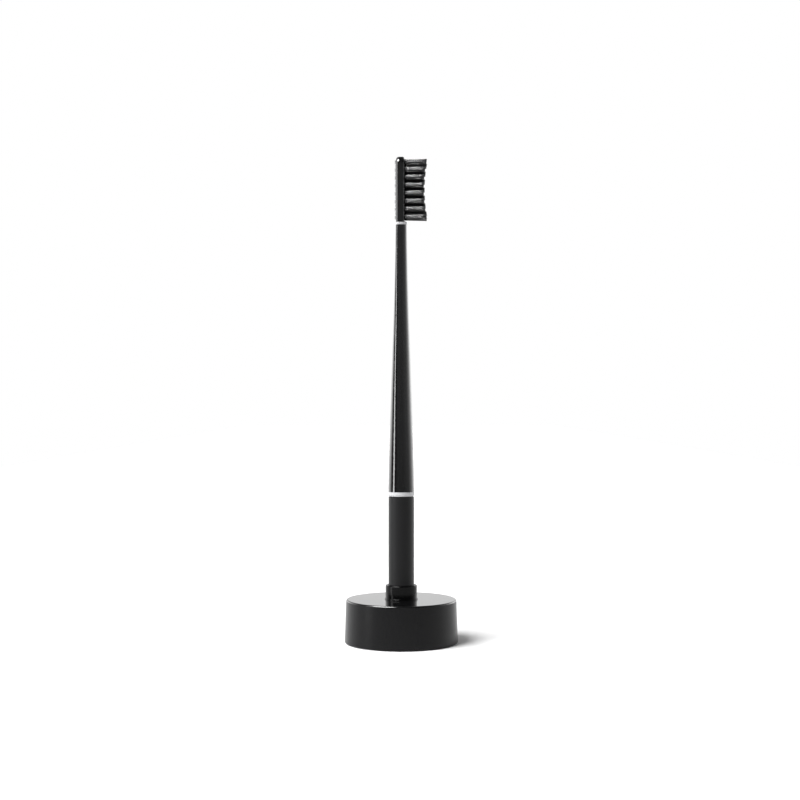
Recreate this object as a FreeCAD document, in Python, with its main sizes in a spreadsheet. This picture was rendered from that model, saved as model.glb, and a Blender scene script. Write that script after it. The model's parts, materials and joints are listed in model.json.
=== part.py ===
import FreeCAD, Part

import math
import os
import re

import Sketcher

# Electric toothbrush standing in its charging base. Millimetres, Z up, origin in the middle of the
# base's underside. The bristles point along +X and the power inlet faces +Y.

SIZES = dict(
    # charging base: shell, bottom plate, foot and screws
    base_height=21.2, base_top_radius=26.95, base_bottom_radius=27.65, base_wall=1.8,
    base_top_thickness=2.5, base_edge_radius=0.7, base_rim_radius=0.3, rim_height=0.4,
    notch_width=1.0, notch_depth=0.9, notch_height=0.4, notch_angle=-119.0,
    plate_gap=0.15, plate_thickness=2.0,
    foot_outer_radius=24.6, foot_inner_radius=21.2, foot_height=1.4,
    screw_circle=18.0, screw_first_angle=30.0, screw_step=120.0, screw_radius=1.1, screw_length=8.0,
    screw_head_radius=1.9, screw_head_height=1.1, screw_head_gap=0.2, screw_web=0.6,
    boss_radius=2.4, ballast_gap=0.3,
    # socket
    socket_radius=7.7, socket_rise=7.0, socket_flange_radius=8.05, socket_flange_height=0.7,
    socket_bore_radius=6.42, socket_floor_height=14.5, socket_floor_thickness=1.2,
    socket_skirt_radius=7.1, socket_chamfer=0.45, socket_rim_round=0.5, socket_flange_round=0.33,
    # charger coil, ferrite and ballast
    bobbin_gap=0.05, bobbin_wall=0.7, bobbin_bottom=10.4, bobbin_height=8.2, bobbin_flange=0.8,
    bobbin_flange_radius=11.5, coil_radius=11.2, coil_slack=0.05,
    ferrite_inner_radius=11.6, ferrite_outer_radius=13.1,
    ballast_inner_radius=14.0, ballast_outer_radius=24.9, ballast_bottom=11.6, ballast_height=6.4,
    # charger board and power inlet
    board_half_width=12.8, board_front=-8.0, board_radius=25.1, board_bottom=6.0, board_thickness=1.2,
    standoff_radius=1.5, standoff_x=10.0, standoff_front_y=-5.0, standoff_back_y=15.0,
    lead_radius=0.3, lead_notch_radius=0.5, lead_x=9.5, lead_y=1.2,
    inlet_half_width=4.47, inlet_half_height=1.63, inlet_corner=1.28, inlet_wall=0.3,
    inlet_length=7.35, inlet_face_y=26.95, inlet_gap=0.15, inlet_back=1.6,
    tongue_half_width=3.3, tongue_half_height=0.35, tongue_inset=0.6,
    chip_size=4.0, chip_height=0.9, inductor_size=5.0, inductor_height=2.6,
    capacitor_length=2.0, capacitor_width=1.2, capacitor_height=1.1, capacitor_pitch=2.6,
    # grip
    grip_radius=6.25, grip_wall=0.85, grip_end_gap=0.1, grip_top=71.3, grip_edge=0.35,
    end_cap_thickness=0.9, end_cap_wall=0.95, end_cap_rise=8.4, end_cap_chamfer=0.3,
    seal_groove_floor=0.6, seal_height=3.0, seal_thickness=0.5,
    pickup_coil_radius=4.2, pickup_core_radius=2.0, pickup_coil_height=6.2, pickup_core_height=7.2,
    # cell
    cell_radius=5.0, cell_bottom=25.0, cell_length=44.0, cell_nub_radius=1.7, cell_nub_height=0.9,
    cell_edge=0.4, tab_thickness=0.15, tab_width=2.0, tab_radius=3.0, tab_top=76.0,
    # trim ring
    ring_radius=6.34, ring_top=73.6, ring_gap=0.2, ring_ledge=0.45, ring_ledge_step=0.16, ring_edge=0.12,
    # tapered shell: sections from the trim ring to the head
    taper_z_1=98.8, taper_z_2=116.4, taper_z_3=139.8, taper_z_4=169.1, taper_z_5=198.4, taper_top=203.65,
    taper_x_0=6.33, taper_x_1=5.72, taper_x_2=5.14, taper_x_3=4.38, taper_x_4=3.44, taper_x_5=2.83,
    taper_x_6=2.75,
    taper_y_0=6.33, taper_y_1=6.04, taper_y_2=5.85, taper_y_3=5.6, taper_y_4=5.28, taper_y_5=4.96,
    taper_y_6=4.9,
    taper_front_0=6.13, taper_front_1=5.8, taper_front_2=5.5, taper_front_3=4.8,
    taper_front_4=3.8, taper_front_5=3.0, taper_front_6=2.9,
    taper_rear_0=6.13, taper_rear_1=5.5, taper_rear_2=4.6, taper_rear_3=3.6, taper_rear_4=2.45,
    taper_rear_5=1.6, taper_rear_6=1.6,
    spigot_radius=5.35, spigot_bore=4.65, spigot_bottom=69.4,
    cavity_wide_radius=4.6, cavity_wide_top=98.0, cavity_neck_radius=3.4, cavity_neck_top=140.0,
    cavity_tip_radius=1.9, cavity_tip_bottom=143.0, cavity_tip_top=189.0,
    # chassis, handle board, switch and indicator
    chassis_bottom=74.2, chassis_back_x=-2.6, chassis_floor=0.9, chassis_half_width=3.0, chassis_rail=0.8,
    holder_bottom=116.4, holder_top=131.0, holder_wall=0.45,
    handle_board_x=0.6, handle_board_thickness=0.8, handle_board_half_width=3.8, handle_board_bottom=75.0,
    handle_board_top=110.0, controller_size=4.0, controller_height=0.8, controller_z=79.5,
    switch_z=98.0, switch_half=1.6, switch_height=0.8, switch_hole_radius=0.85, switch_hole_depth=0.65,
    led_z=86.0, led_half=0.6, led_height=0.6, pipe_radius=0.7,
    # power button
    button_half_width=2.3, button_half_height=4.4, button_gap=0.12, button_flange_x=2.9,
    button_flange_thickness=0.5, button_flange_edge=0.5, plunger_radius=0.7, plunger_end_x=2.2,
    button_reach=8.0,
    # motor
    motor_radius=3.0, motor_wall=0.25, motor_bottom=117.6, motor_length=12.0, motor_nose_radius=1.2,
    motor_nose_height=0.8, end_bell_height=1.2, magnet_radius=1.65, magnet_length=7.4,
    shaft_radius=0.4, shaft_overhang=8.2, bearing_radius=0.9, bearing_gap=0.02,
    winding_inner_radius=1.95, winding_outer_radius=2.35, winding_bottom_gap=0.5, winding_length=8.4,
    winding_floor=0.4, commutator_radius=0.7, commutator_height=0.35, shaft_end_gap=0.3,
    weight_radius=2.6, weight_hub_radius=0.95, weight_bottom_gap=1.4, weight_length=5.0,
    wire_radius=0.3, wire_x=1.0, wire_y=1.1, wire_clearance=0.1,
    # neck pin and head
    pin_x=-1.15, pin_radius=1.05, pin_bottom=190.0, pin_top=216.0, pin_chamfer=0.4, pin_fit=0.05,
    neck_seal_radius=1.4, neck_seal_height=0.8,
    head_ring_height=1.2, head_ring_half_x=2.72, head_ring_x=0.02, head_joint_gap=0.05,
    head_ring_front=2.85, head_ring_rear=1.6, head_ring_half_y=4.86,
    head_back_x=-2.66, head_face_x=1.45, head_top=237.0, head_half_width=4.92, head_skirt=0.5,
    head_corner=3.6, head_edge=0.8, head_rear_edge=1.6, head_bore_end_gap=0.4,
    clip_bottom=208.4, clip_height=1.6, clip_radius=1.3,
    cleaner_thickness=0.12, cleaner_half_width=2.9, cleaner_bottom=207.0, cleaner_top=234.4,
    rib_height=0.38, rib_small_height=0.18, rib_half_thickness=0.5, rib_small_half_thickness=0.35,
    rib_half_width=2.6,
    # bristle tufts
    tuft_first_z=207.5, tuft_pitch=3.86, tuft_column_y=3.2, tuft_radius=1.1, tuft_hole_depth=1.0,
    anchor_thickness=0.25, anchor_half_length=0.95, anchor_half_width=0.5,
    trim_middle_x=10.85, trim_middle_z=220.9, trim_rise=1.5, trim_reach=14.0, inner_tuft_extra=0.5,
)

TUFT_ROWS = 8
SCREWS = 3
TAPER_SECTIONS = 7
CAPACITORS = 3

FUNCTIONS = ("cos", "sin")
QUARTER_TURN = math.pi / 2
NEAR = 0.001
TURNS = dict(
    x=FreeCAD.Rotation(FreeCAD.Vector(0, 1, 0), 90),
    z=FreeCAD.Rotation(),
)

doc = FreeCAD.newDocument("toothbrush_on_charger")
sheet = doc.addObject("Spreadsheet::Sheet", "dims")
for row, (alias, number) in enumerate(SIZES.items(), start=1):
    sheet.set(f"A{row}", str(number))
    sheet.setAlias(f"A{row}", alias)
doc.recompute()

nodes = []


# ---------------------------------------------------------------- helpers

def ex(text):
    """An expression on the sheet's cells, from one written with their bare names."""
    def qualify(found):
        return found[0] if found[0] in FUNCTIONS else "dims." + found[0]
    return re.sub(r"[a-z][a-z_]+[0-9]?", qualify, text)


def size(text):
    """The number that such an expression comes to."""
    return float(sheet.evalExpression(ex(text)))


def bind(obj, **sizes):
    """Bind properties to expressions: a double underscore stands for a dot."""
    for name, text in sizes.items():
        obj.setExpression(name.replace("__", "."), ex(text))
    return obj


def place(obj, x="0", y="0", z="0"):
    return bind(obj, Placement__Base__x=x, Placement__Base__y=y, Placement__Base__z=z)


def node(obj, label):
    """Make an object one of the sub-parts, which are written out under their labels."""
    obj.Label = label
    nodes.append(obj)
    return obj


def rod(name, radius, length, axis="z", **corner):
    """A cylinder from its start point along an axis."""
    obj = doc.addObject("Part::Cylinder", name)
    obj.Placement = FreeCAD.Placement(FreeCAD.Vector(), TURNS[axis])
    bind(obj, Radius=radius, Height=length)
    return place(obj, **corner)


def block(name, x0, x1, y0, y1, z0, z1):
    """A box between two corners."""
    obj = doc.addObject("Part::Box", name)
    bind(obj, Length=f"({x1}) - ({x0})", Width=f"({y1}) - ({y0})", Height=f"({z1}) - ({z0})")
    return place(obj, x=x0, y=y0, z=z0)


def cut(name, base, *tools):
    obj = doc.addObject("Part::Cut", name)
    obj.Base = base
    obj.Tool = tools[0] if len(tools) == 1 else group(name + "_tools", *tools)
    return obj


def group(name, *parts):
    obj = doc.addObject("Part::Compound", name)
    obj.Links = list(parts)
    return obj


def fuse(name, *parts):
    obj = doc.addObject("Part::MultiFuse", name)
    obj.Shapes = list(parts)
    return obj


def common(name, base, tool):
    obj = doc.addObject("Part::Common", name)
    obj.Base = base
    obj.Tool = tool
    return obj


def tube(name, outer, inner, z, length):
    return cut(name, rod(name + "_outside", outer, length, z=z), rod(name + "_bore", inner, length, z=z))


def origin_plane(body, role):
    return [feature for feature in body.Origin.OriginFeatures if feature.Role == role][0]


def new_sketch(body, name, role, offset="0"):
    """A sketch on one of a body's origin planes, moved off it by an offset."""
    sketch = body.newObject("Sketcher::SketchObject", name)
    sketch.AttachmentSupport = [(origin_plane(body, role), "")]
    sketch.MapMode = "FlatFace"
    return bind(sketch, AttachmentOffset__Base__z=offset)


def fix_point(sketch, curve, end, across, up):
    """Hold one point of a curve at a place given by two expressions."""
    for kind, axis, text in (("DistanceX", -2, across), ("DistanceY", -1, up)):
        if text == "0":
            sketch.addConstraint(Sketcher.Constraint("PointOnObject", curve, end, axis))
        else:
            index = sketch.addConstraint(Sketcher.Constraint(kind, -1, 1, curve, end, size(text)))
            sketch.setExpression(f"Constraints[{index}]", ex(text))


def polygon(sketch, points):
    """A closed outline with every corner held by the sheet."""
    corners = [FreeCAD.Vector(size(across), size(up), 0) for across, up in points]
    for i, corner in enumerate(corners):
        sketch.addGeometry(Part.LineSegment(corner, corners[(i + 1) % len(corners)]), False)
    for i in range(len(corners)):
        sketch.addConstraint(Sketcher.Constraint("Coincident", i, 2, (i + 1) % len(corners), 1))
    for i, (across, up) in enumerate(points):
        fix_point(sketch, i, 1, across, up)


def rounded_outline(sketch, half_x, half_y, corner, rear_corner, centre_x="0", centre_y="0"):
    """A rectangle with round corners, which may differ between its +X and -X sides."""
    arcs = []
    for i, (side_x, side_y) in enumerate(((1, 1), (-1, 1), (-1, -1), (1, -1))):
        round_off = corner if side_x > 0 else rear_corner
        radius = size(round_off)
        across = f"({centre_x}) + {side_x} * ({half_x} - ({round_off}))"
        up = f"({centre_y}) + {side_y} * ({half_y} - ({round_off}))"
        centre = FreeCAD.Vector(size(across), size(up), 0)
        circle = Part.Circle(centre, FreeCAD.Vector(0, 0, 1), radius)
        arc = sketch.addGeometry(Part.ArcOfCircle(circle, i * QUARTER_TURN, (i + 1) * QUARTER_TURN), False)
        fix_point(sketch, arc, 3, across, up)
        index = sketch.addConstraint(Sketcher.Constraint("Radius", arc, radius))
        sketch.setExpression(f"Constraints[{index}]", ex(round_off))
        arcs.append(arc)
    for arc, following in zip(arcs, arcs[1:] + arcs[:1]):
        start = sketch.getPoint(arc, 2)
        end = sketch.getPoint(following, 1)
        line = sketch.addGeometry(Part.LineSegment(start, end), False)
        sketch.addConstraint(Sketcher.Constraint("Tangent", arc, 2, line, 1))
        sketch.addConstraint(Sketcher.Constraint("Tangent", line, 2, following, 1))


def turned(name, outline):
    """A body turned about Z from an outline of (radius, height) corners."""
    body = doc.addObject("PartDesign::Body", name)
    sketch = new_sketch(body, name + "_outline", "XZ_Plane")
    polygon(sketch, outline)
    turn = body.newObject("PartDesign::Revolution", name + "_turn")
    turn.Profile = sketch
    turn.ReferenceAxis = (sketch, ["V_Axis"])
    turn.Angle = 360
    body.Tip = turn
    return body


def soften(body, kind, amount, chosen):
    """Fillet or chamfer the edges of a body's last feature that a test picks."""
    doc.recompute()
    base = body.Tip
    names = [f"Edge{i}" for i, edge in enumerate(base.Shape.Edges, start=1) if chosen(edge)]
    feature = body.newObject("PartDesign::" + kind, f"{base.Name}_{kind.lower()}")
    feature.Base = (base, names)
    bind(feature, **{"Radius" if kind == "Fillet" else "Size": amount})
    body.Tip = feature
    return body


def circle_at(radius, height):
    """A test for the circular edge of a turned body that has a given radius and height."""
    def chosen(edge):
        box = edge.BoundBox
        level = abs(box.ZMax - size(height)) < NEAR and box.ZLength < NEAR
        return level and abs(box.XMax - size(radius)) < NEAR
    return chosen


def loft(name, sections):
    """A body through round-cornered sections, each with its height, half sizes, corners and centre."""
    body = doc.addObject("PartDesign::Body", name)
    sketches = []
    for i, (height, *outline) in enumerate(sections):
        sketch = new_sketch(body, f"{name}_section_{i}", "XY_Plane", height)
        rounded_outline(sketch, *outline)
        sketches.append(sketch)
    feature = body.newObject("PartDesign::AdditiveLoft", name + "_loft")
    feature.Profile = sketches[0]
    feature.Sections = sketches[1:]
    body.Tip = feature
    return body


def rounded_bar(name, half_x, half_z, corner, front_y, length, centre_z):
    """A bar of round-cornered section along Y that ends at front_y."""
    body = doc.addObject("PartDesign::Body", name)
    sketch = new_sketch(body, name + "_section", "XZ_Plane", f"-({front_y})")
    rounded_outline(sketch, half_x, half_z, corner, corner, centre_y=centre_z)
    pad = body.newObject("PartDesign::Pad", name + "_pad")
    pad.Profile = sketch
    bind(pad, Length=length)
    body.Tip = pad
    return body


# ---------------------------------------------------------------- charging base

INNER_TOP = "base_height - base_top_thickness"
PLATE_TOP = "rim_height + plate_thickness"
BOARD_TOP = "board_bottom + board_thickness"
INLET_Z = f"{BOARD_TOP} + inlet_half_height"


def on_screw_circle(i):
    """The place of one of the housing screws."""
    angle = f"(screw_first_angle + {i} * screw_step)"
    return dict(x=f"screw_circle * cos({angle})", y=f"screw_circle * sin({angle})")


def make_base_shell():
    """Drafted cup, open below, with screw bosses, a pry notch in the rim and the inlet's opening."""
    walls = turned("shell_walls", [
        ("base_bottom_radius - base_wall", "rim_height"),
        ("base_bottom_radius", "rim_height"),
        ("base_top_radius", "base_height"),
        ("socket_skirt_radius + bobbin_gap", "base_height"),
        ("socket_skirt_radius + bobbin_gap", INNER_TOP),
        ("base_top_radius - base_wall", INNER_TOP),
    ])
    soften(walls, "Fillet", "base_edge_radius", circle_at("base_top_radius", "base_height"))
    soften(walls, "Fillet", "base_rim_radius", circle_at("base_bottom_radius", "rim_height"))
    bosses = []
    holes = []
    for i in range(SCREWS):
        spot = on_screw_circle(i)
        bosses.append(rod(f"boss_{i}", "boss_radius", f"{INNER_TOP} - ({PLATE_TOP})", z=PLATE_TOP, **spot))
        holes.append(rod(f"boss_hole_{i}", "screw_radius", "screw_length", z=PLATE_TOP, **spot))
    opening = rounded_bar("inlet_opening", "inlet_half_width + inlet_gap", "inlet_half_height + inlet_gap",
                          "inlet_corner + inlet_gap", "base_bottom_radius + inlet_gap", "inlet_length",
                          INLET_Z)
    notch = block("pry_notch", "base_bottom_radius - notch_depth", "base_bottom_radius + notch_depth",
                  "-notch_width / 2", "notch_width / 2", "rim_height - notch_height",
                  "rim_height + notch_height")
    notch.Placement = FreeCAD.Placement(FreeCAD.Vector(), FreeCAD.Rotation(size("notch_angle"), 0, 0))
    along = "(base_bottom_radius - notch_depth)"
    place(notch, x=f"{along} * cos(notch_angle) + notch_width / 2 * sin(notch_angle)",
          y=f"{along} * sin(notch_angle) - notch_width / 2 * cos(notch_angle)",
          z="rim_height - notch_height")
    body = fuse("shell_with_bosses", walls, *bosses)
    return node(cut("base_shell_solid", body, opening, notch, *holes), "base_shell")


def make_bottom_plate():
    """Disc with a groove for the foot ring, screw seats and four board standoffs."""
    plate_radius = "base_bottom_radius - base_wall - plate_gap"
    disc = rod("plate_disc", plate_radius, "plate_thickness", z="rim_height")
    standoffs = []
    for side in (-1, 1):
        for end in ("front", "back"):
            standoffs.append(rod(f"standoff_{end}_{side + 1}", "standoff_radius",
                                 f"board_bottom - ({PLATE_TOP})", x=f"{side} * standoff_x",
                                 y=f"standoff_{end}_y", z=PLATE_TOP))
    tools = [tube("foot_groove", "foot_outer_radius", "foot_inner_radius", "0", "foot_height")]
    for i in range(SCREWS):
        spot = on_screw_circle(i)
        tools.append(rod(f"screw_seat_{i}", "screw_head_radius + screw_head_gap",
                         f"{PLATE_TOP} - screw_web", **spot))
        tools.append(rod(f"screw_way_{i}", "screw_radius", PLATE_TOP, **spot))
    return node(cut("bottom_plate_solid", fuse("plate_with_standoffs", disc, *standoffs), *tools),
                "bottom_plate")


def make_foot_ring():
    return node(tube("foot_ring_solid", "foot_outer_radius", "foot_inner_radius", "0", "foot_height"),
                "foot_ring")


def make_housing_screws():
    """Three self-tapping screws, driven up from below, with a cross recess each."""
    screws = []
    for i in range(SCREWS):
        spot = on_screw_circle(i)
        head_bottom = f"{PLATE_TOP} - screw_web - screw_head_height"
        head = rod(f"screw_head_{i}", "screw_head_radius", "screw_head_height", z=head_bottom, **spot)
        shank = rod(f"screw_shank_{i}", "screw_radius", "screw_web + screw_length",
                    z=f"{PLATE_TOP} - screw_web", **spot)
        recess = []
        for turn in (0, 1):
            long_x, long_y = ("screw_radius", "wire_radius")[::1 - 2 * turn]
            recess.append(block(f"screw_recess_{i}_{turn}",
                                f"{spot['x']} - {long_x}", f"{spot['x']} + {long_x}",
                                f"{spot['y']} - {long_y}", f"{spot['y']} + {long_y}",
                                head_bottom, f"{head_bottom} + screw_head_height / 2"))
        screws.append(cut(f"screw_{i}", fuse(f"screw_blank_{i}", head, shank), *recess))
    return node(group("housing_screws_group", *screws), "housing_screws")


def make_socket_cup():
    """Gloss cup that the grip stands in: collar, small flange and a closed skirt below."""
    floor_bottom = "socket_floor_height - socket_floor_thickness"
    rim = "base_height + socket_rise"
    flange_top = "base_height + socket_flange_height"
    cup = turned("socket_cup", [
        ("0", floor_bottom),
        ("socket_skirt_radius", floor_bottom),
        ("socket_skirt_radius", "base_height"),
        ("socket_flange_radius", "base_height"),
        ("socket_flange_radius", flange_top),
        ("socket_radius", flange_top),
        ("socket_radius", rim),
        ("socket_bore_radius + socket_chamfer", rim),
        ("socket_bore_radius", rim + " - socket_chamfer"),
        ("socket_bore_radius", "socket_floor_height"),
        ("0", "socket_floor_height"),
    ])
    soften(cup, "Fillet", "socket_rim_round", circle_at("socket_radius", rim))
    soften(cup, "Fillet", "socket_flange_round", circle_at("socket_flange_radius", flange_top))
    return node(cup, "socket_cup")


def make_charger_coil():
    """Bobbin round the cup's skirt, its winding, the leads to the board and a ferrite sleeve."""
    bore = "socket_skirt_radius + bobbin_gap"
    hub = f"{bore} + bobbin_wall"
    top = "bobbin_bottom + bobbin_height"
    reel = turned("bobbin_reel", [
        (bore, "bobbin_bottom"),
        ("bobbin_flange_radius", "bobbin_bottom"),
        ("bobbin_flange_radius", "bobbin_bottom + bobbin_flange"),
        (hub, "bobbin_bottom + bobbin_flange"),
        (hub, top + " - bobbin_flange"),
        ("bobbin_flange_radius", top + " - bobbin_flange"),
        ("bobbin_flange_radius", top),
        (bore, top),
    ])
    notches = []
    leads = []
    coil_bottom = "bobbin_bottom + bobbin_flange + coil_slack"
    for side in (-1, 1):
        spot = dict(x="lead_x", y=f"{side} * lead_y")
        notches.append(rod(f"lead_notch_{side + 1}", "lead_notch_radius", coil_bottom, **spot))
        leads.append(rod(f"coil_lead_{side + 1}", "lead_radius", f"{coil_bottom} - ({BOARD_TOP})",
                         z=BOARD_TOP, **spot))
    node(cut("coil_bobbin_solid", reel, *notches), "coil_bobbin")
    node(tube("primary_coil_solid", "coil_radius", hub + " + coil_slack", coil_bottom,
              "bobbin_height - 2 * bobbin_flange - 2 * coil_slack"), "primary_coil")
    node(group("coil_leads_group", *leads), "coil_leads")
    node(tube("ferrite_sleeve_solid", "ferrite_outer_radius", "ferrite_inner_radius", "bobbin_bottom",
              "bobbin_height"), "ferrite_sleeve")


def make_ballast_ring():
    """Steel ring that weighs the base down, cleared for the screw bosses."""
    ring = tube("ballast_blank", "ballast_outer_radius", "ballast_inner_radius", "ballast_bottom",
                "ballast_height")
    holes = [rod(f"ballast_hole_{i}", "boss_radius + ballast_gap", "ballast_bottom + ballast_height",
                 **on_screw_circle(i)) for i in range(SCREWS)]
    return node(cut("ballast_ring_solid", ring, *holes), "ballast_ring")


def make_charger_board():
    """Board with the inlet at its back edge, a controller, an inductor and three capacitors."""
    blank = block("board_blank", "-board_half_width", "board_half_width", "board_front", "board_radius",
                  "board_bottom", BOARD_TOP)
    disc = rod("board_disc", "board_radius", "board_thickness", z="board_bottom")
    node(common("charger_board_solid", blank, disc), "charger_board")
    node(block("charger_chip_solid", "-chip_size * 1.5", "-chip_size / 2", "0", "chip_size",
               BOARD_TOP, f"{BOARD_TOP} + chip_height"), "charger_chip")
    node(block("charger_inductor_solid", "chip_size / 2", "chip_size / 2 + inductor_size",
               "chip_size", "chip_size + inductor_size", BOARD_TOP, f"{BOARD_TOP} + inductor_height"),
         "charger_inductor")
    capacitors = []
    for i in range(CAPACITORS):
        y0 = f"-chip_size + {i - 1} * capacitor_pitch / 2"
        x0 = f"{i - 1} * capacitor_pitch - capacitor_length / 2"
        capacitors.append(block(f"capacitor_{i}", x0, f"{x0} + capacitor_length", y0,
                                f"{y0} + capacitor_width", BOARD_TOP, f"{BOARD_TOP} + capacitor_height"))
    node(group("charger_capacitors_group", *capacitors), "charger_capacitors")


def make_inlet():
    """USB-C receptacle: a drawn shell, open to the rear, and an insulator with its tongue."""
    outside = rounded_bar("inlet_outside", "inlet_half_width", "inlet_half_height", "inlet_corner",
                          "inlet_face_y", "inlet_length", INLET_Z)
    inside = rounded_bar("inlet_inside", "inlet_half_width - inlet_wall", "inlet_half_height - inlet_wall",
                         "inlet_corner - inlet_wall", "inlet_face_y", "inlet_length", INLET_Z)
    node(cut("inlet_shell_solid", outside, inside), "inlet_shell")
    back = rounded_bar("inlet_back_block", "inlet_half_width - inlet_wall",
                       "inlet_half_height - inlet_wall", "inlet_corner - inlet_wall",
                       "inlet_face_y - inlet_length + inlet_back", "inlet_back", INLET_Z)
    tongue = block("inlet_tongue_bar", "-tongue_half_width", "tongue_half_width",
                   "inlet_face_y - inlet_length + inlet_back / 2", "inlet_face_y - tongue_inset",
                   f"{INLET_Z} - tongue_half_height", f"{INLET_Z} + tongue_half_height")
    node(fuse("inlet_tongue_solid", back, tongue), "inlet_tongue")


# ---------------------------------------------------------------- grip

GRIP_BOTTOM = "socket_floor_height + grip_end_gap"
GRIP_BORE = "grip_radius - grip_wall"
CAP_TOP = f"{GRIP_BOTTOM} + end_cap_thickness"


def make_grip_sleeve():
    """Soft-touch tube from the end cap to the trim ring."""
    sleeve = turned("grip_sleeve", [
        (GRIP_BORE, CAP_TOP),
        ("grip_radius", CAP_TOP),
        ("grip_radius", "grip_top - grip_edge"),
        ("grip_radius - grip_edge", "grip_top"),
        (GRIP_BORE, "grip_top"),
    ])
    return node(sleeve, "grip_sleeve")


def make_end_cap():
    """Cup that plugs the grip's lower end and carries the pickup coil and the O-ring."""
    spigot = GRIP_BORE
    bore = f"{GRIP_BORE} - end_cap_wall"
    groove = f"{GRIP_BORE} - seal_groove_floor"
    seal_bottom = f"{CAP_TOP} + seal_height"
    cap = turned("end_cap", [
        ("0", GRIP_BOTTOM),
        ("grip_radius - end_cap_chamfer", GRIP_BOTTOM),
        ("grip_radius", GRIP_BOTTOM + " + end_cap_chamfer"),
        ("grip_radius", CAP_TOP),
        (spigot, CAP_TOP),
        (spigot, seal_bottom),
        (groove, seal_bottom),
        (groove, seal_bottom + " + seal_thickness"),
        (spigot, seal_bottom + " + seal_thickness"),
        (spigot, GRIP_BOTTOM + " + end_cap_rise"),
        (bore, GRIP_BOTTOM + " + end_cap_rise"),
        (bore, CAP_TOP),
        ("0", CAP_TOP),
    ])
    node(cap, "end_cap")
    node(tube("end_cap_seal_solid", spigot, groove, seal_bottom, "seal_thickness"), "end_cap_seal")


def make_pickup():
    """Coil and ferrite rod that take the power up from the charger."""
    node(rod("pickup_core_solid", "pickup_core_radius", "pickup_core_height", z=CAP_TOP), "pickup_core")
    node(tube("pickup_coil_solid", "pickup_coil_radius", "pickup_core_radius", CAP_TOP,
              "pickup_coil_height"), "pickup_coil")


def make_cell():
    """Cylindrical lithium cell with its button terminal, and the strips from both ends."""
    shoulder = "cell_bottom + cell_length - cell_nub_height"
    cell = turned("battery_cell", [
        ("0", "cell_bottom"),
        ("cell_radius - cell_edge", "cell_bottom"),
        ("cell_radius", "cell_bottom + cell_edge"),
        ("cell_radius", shoulder + " - cell_edge"),
        ("cell_radius - cell_edge", shoulder),
        ("cell_nub_radius", shoulder),
        ("cell_nub_radius", "cell_bottom + cell_length"),
        ("0", "cell_bottom + cell_length"),
    ])
    node(cell, "battery_cell")
    pad = rod("lower_tab_pad", "tab_radius", "tab_thickness", z="cell_bottom - tab_thickness")
    foot = block("lower_tab_foot", "-cell_radius - tab_thickness", "0", "-tab_width / 2", "tab_width / 2",
                 "cell_bottom - tab_thickness", "cell_bottom")
    riser = block("lower_tab_riser", "-cell_radius - tab_thickness", "-cell_radius",
                  "-tab_width / 2", "tab_width / 2", "cell_bottom - tab_thickness", shoulder)
    node(fuse("lower_tab_solid", pad, foot, riser), "battery_tab_negative")
    top_pad = rod("upper_tab_pad", "cell_nub_radius", "tab_thickness", z="cell_bottom + cell_length")
    strip = block("upper_tab_riser", "handle_board_x - tab_thickness", "handle_board_x",
                  "-tab_width / 2", "tab_width / 2", "cell_bottom + cell_length", "tab_top")
    node(fuse("upper_tab_solid", top_pad, strip), "battery_tab_positive")


def make_trim_ring():
    """Metal ring between grip and taper: a narrow ledge below a wider band."""
    bottom = "grip_top + ring_gap"
    ledge_radius = "ring_radius - ring_ledge_step"
    band_bottom = bottom + " + ring_ledge"
    ring = turned("trim_ring", [
        ("spigot_radius", bottom),
        (ledge_radius + " - ring_edge", bottom),
        (ledge_radius, bottom + " + ring_edge"),
        (ledge_radius, band_bottom),
        ("ring_radius - ring_edge", band_bottom),
        ("ring_radius", band_bottom + " + ring_edge"),
        ("ring_radius", "ring_top"),
        ("spigot_radius", "ring_top"),
    ])
    return node(ring, "trim_ring")


# ---------------------------------------------------------------- tapered shell

def button_outline(name, edge, x0, x1):
    """A stadium-ended bar along X at the switch's height, larger than the button by an edge."""
    half_width = f"(button_half_width + {edge})"
    straight = "(button_half_height - button_half_width)"
    ends = [rod(f"{name}_end_{side + 1}", half_width, f"({x1}) - ({x0})", axis="x", x=x0,
                z=f"switch_z + {side} * {straight}") for side in (-1, 1)]
    middle = block(name + "_middle", x0, x1, f"-{half_width}", half_width, f"switch_z - {straight}",
                   f"switch_z + {straight}")
    return fuse(name, middle, *ends)


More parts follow.
